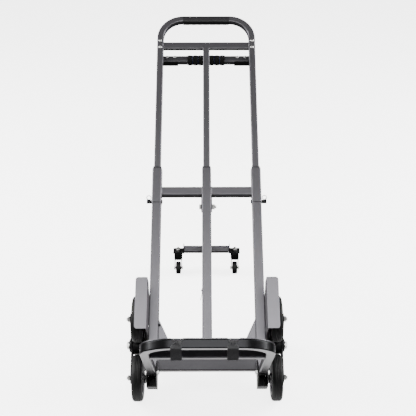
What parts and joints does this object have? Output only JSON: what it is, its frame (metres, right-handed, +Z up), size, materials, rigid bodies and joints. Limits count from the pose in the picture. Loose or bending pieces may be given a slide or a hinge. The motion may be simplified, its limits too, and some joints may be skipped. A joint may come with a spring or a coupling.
{
  "type": "stair climbing trolley",
  "caption": "Folding stair climbing trolley with a telescoping handle, a fold-up toe plate, three-wheel star wheels each side and a rear support leg on swivel casters.",
  "frame": {"origin": "bottom centre of the trolley's box, on the floor, as it stands reclined on its star wheels and casters", "axes": "+Z up, +X to the right seen from the load side, +Y to the back, so the toe plate and load side face -Y"},
  "size_m": [0.532, 1.3642, 0.974],
  "materials": {
    "frame_coat": "fine-textured satin powder coat",
    "guard_coat": "satin powder coat",
    "black_steel": "satin black coat",
    "zinc": "bright zinc plate",
    "black_plastic": "moulded nylon",
    "grip_rubber": "soft vinyl sleeve",
    "grip_foam": "foam rubber",
    "grip_ring": "dark blue moulded ring",
    "strap_fabric": "woven hook and loop strap",
    "rim_plastic": "moulded plastic",
    "tire_rubber": "solid rubber"
  },
  "bodies": {
    "frame": {"left_side_rail": "frame_coat", "right_side_rail": "frame_coat", "center_rail": "frame_coat", "bottom_crossbar": "frame_coat", "middle_crossbars": "frame_coat", "gusset_plates": "frame_coat", "tube_guide_bushes": "black_plastic", "lock_sleeves": "frame_coat", "plunger_barrels": "black_steel", "lock_springs": "zinc", "stub_axles": "zinc", "axle_brackets": "black_steel", "wheel_guards": "guard_coat", "hinge_brackets": "black_steel", "toe_hinge_bolts": "zinc", "leg_pivot_bracket": "black_steel", "leg_pivot_bolt": "zinc", "leg_clip": "black_steel"},
    "handle": {"handle_tube": "frame_coat", "center_inner_tube": "frame_coat", "upper_crossbar": "frame_coat", "handle_grip": "grip_rubber", "rear_handle_arms": "black_steel", "rear_handle_bar": "black_steel", "rear_grip_foam": "grip_foam", "rear_grip_rings": "grip_ring", "rear_handle_bolts": "zinc", "inner_tube_sliders": "black_plastic"},
    "toe_plate": {"toe_frame": "frame_coat", "toe_crossbar": "frame_coat", "toe_sheet": "frame_coat", "toe_straps": "strap_fabric"},
    "support_leg": {"leg_tube": "frame_coat", "leg_cross_tube": "frame_coat", "leg_end_plates": "black_steel", "caster_stem_nuts": "zinc"},
    "left_lock": {"left_lock_pin": "black_steel"},
    "left_caster": {"left_caster_fork": "black_steel"},
    "left_caster_roller": {"left_caster_wheel": "rim_plastic", "left_caster_tire": "tire_rubber"},
    "left_star": {"left_star_carrier": "black_steel", "left_wheel_bolts": "zinc"},
    "left_top_wheel": {"left_top_wheel_rim": "rim_plastic", "left_top_wheel_tire": "tire_rubber"},
    "left_front_wheel": {"left_front_wheel_rim": "rim_plastic", "left_front_wheel_tire": "tire_rubber"},
    "left_rear_wheel": {"left_rear_wheel_rim": "rim_plastic", "left_rear_wheel_tire": "tire_rubber"},
    "right_lock": {"right_lock_pin": "black_steel"},
    "right_caster": {"right_caster_fork": "black_steel"},
    "right_caster_roller": {"right_caster_wheel": "rim_plastic", "right_caster_tire": "tire_rubber"},
    "right_star": {"right_star_carrier": "black_steel", "right_wheel_bolts": "zinc"},
    "right_top_wheel": {"right_top_wheel_rim": "rim_plastic", "right_top_wheel_tire": "tire_rubber"},
    "right_front_wheel": {"right_front_wheel_rim": "rim_plastic", "right_front_wheel_tire": "tire_rubber"},
    "right_rear_wheel": {"right_rear_wheel_rim": "rim_plastic", "right_rear_wheel_tire": "tire_rubber"}
  },
  "joints": [
    {"name": "handle_slide", "type": "slide", "parent": "frame", "child": "handle", "axis": [0, 0.788, 0.6157], "range_m": [-0.44, 0]},
    {"name": "toe_plate_fold", "type": "hinge", "parent": "frame", "child": "toe_plate", "pos_m": [0, -0.41673, 0.15999], "axis": [-1, 0, 0], "range_deg": [0, 90]},
    {"name": "support_leg_fold", "type": "hinge", "parent": "frame", "child": "support_leg", "pos_m": [0, 0.09061, 0.46246], "axis": [-1, 0, 0], "range_deg": [0, 80]},
    {"name": "left_lock_pull", "type": "slide", "parent": "frame", "child": "left_lock", "axis": [-1, 0, 0], "range_m": [0, 0.005], "stiffness_N_per_m": 600, "springref_m": -0.004},
    {"name": "left_caster_swivel", "type": "hinge", "parent": "support_leg", "child": "left_caster", "pos_m": [-0.115, 0.3732, 0.09], "axis": [0, 0, 1], "continuous": true},
    {"name": "left_caster_spin", "type": "hinge", "parent": "left_caster", "child": "left_caster_roller", "pos_m": [-0.115, 0.3532, 0.025], "axis": [1, 0, 0], "continuous": true},
    {"name": "left_star_turn", "type": "hinge", "parent": "frame", "child": "left_star", "pos_m": [-0.224, -0.2537, 0.13], "axis": [1, 0, 0], "continuous": true},
    {"name": "left_top_wheel_spin", "type": "hinge", "parent": "left_star", "child": "left_top_wheel", "pos_m": [-0.224, -0.2537, 0.24], "axis": [1, 0, 0], "continuous": true},
    {"name": "left_front_wheel_spin", "type": "hinge", "parent": "left_star", "child": "left_front_wheel", "pos_m": [-0.224, -0.34897, 0.075], "axis": [1, 0, 0], "continuous": true},
    {"name": "left_rear_wheel_spin", "type": "hinge", "parent": "left_star", "child": "left_rear_wheel", "pos_m": [-0.224, -0.15844, 0.075], "axis": [1, 0, 0], "continuous": true},
    {"name": "right_lock_pull", "type": "slide", "parent": "frame", "child": "right_lock", "axis": [1, 0, 0], "range_m": [0, 0.005], "stiffness_N_per_m": 600, "springref_m": -0.004},
    {"name": "right_caster_swivel", "type": "hinge", "parent": "support_leg", "child": "right_caster", "pos_m": [0.115, 0.3732, 0.09], "axis": [0, 0, 1], "continuous": true},
    {"name": "right_caster_spin", "type": "hinge", "parent": "right_caster", "child": "right_caster_roller", "pos_m": [0.115, 0.3532, 0.025], "axis": [1, 0, 0], "continuous": true},
    {"name": "right_star_turn", "type": "hinge", "parent": "frame", "child": "right_star", "pos_m": [0.224, -0.2537, 0.13], "axis": [1, 0, 0], "continuous": true},
    {"name": "right_top_wheel_spin", "type": "hinge", "parent": "right_star", "child": "right_top_wheel", "pos_m": [0.224, -0.2537, 0.24], "axis": [1, 0, 0], "continuous": true},
    {"name": "right_front_wheel_spin", "type": "hinge", "parent": "right_star", "child": "right_front_wheel", "pos_m": [0.224, -0.34897, 0.075], "axis": [1, 0, 0], "continuous": true},
    {"name": "right_rear_wheel_spin", "type": "hinge", "parent": "right_star", "child": "right_rear_wheel", "pos_m": [0.224, -0.15844, 0.075], "axis": [1, 0, 0], "continuous": true}
  ]
}
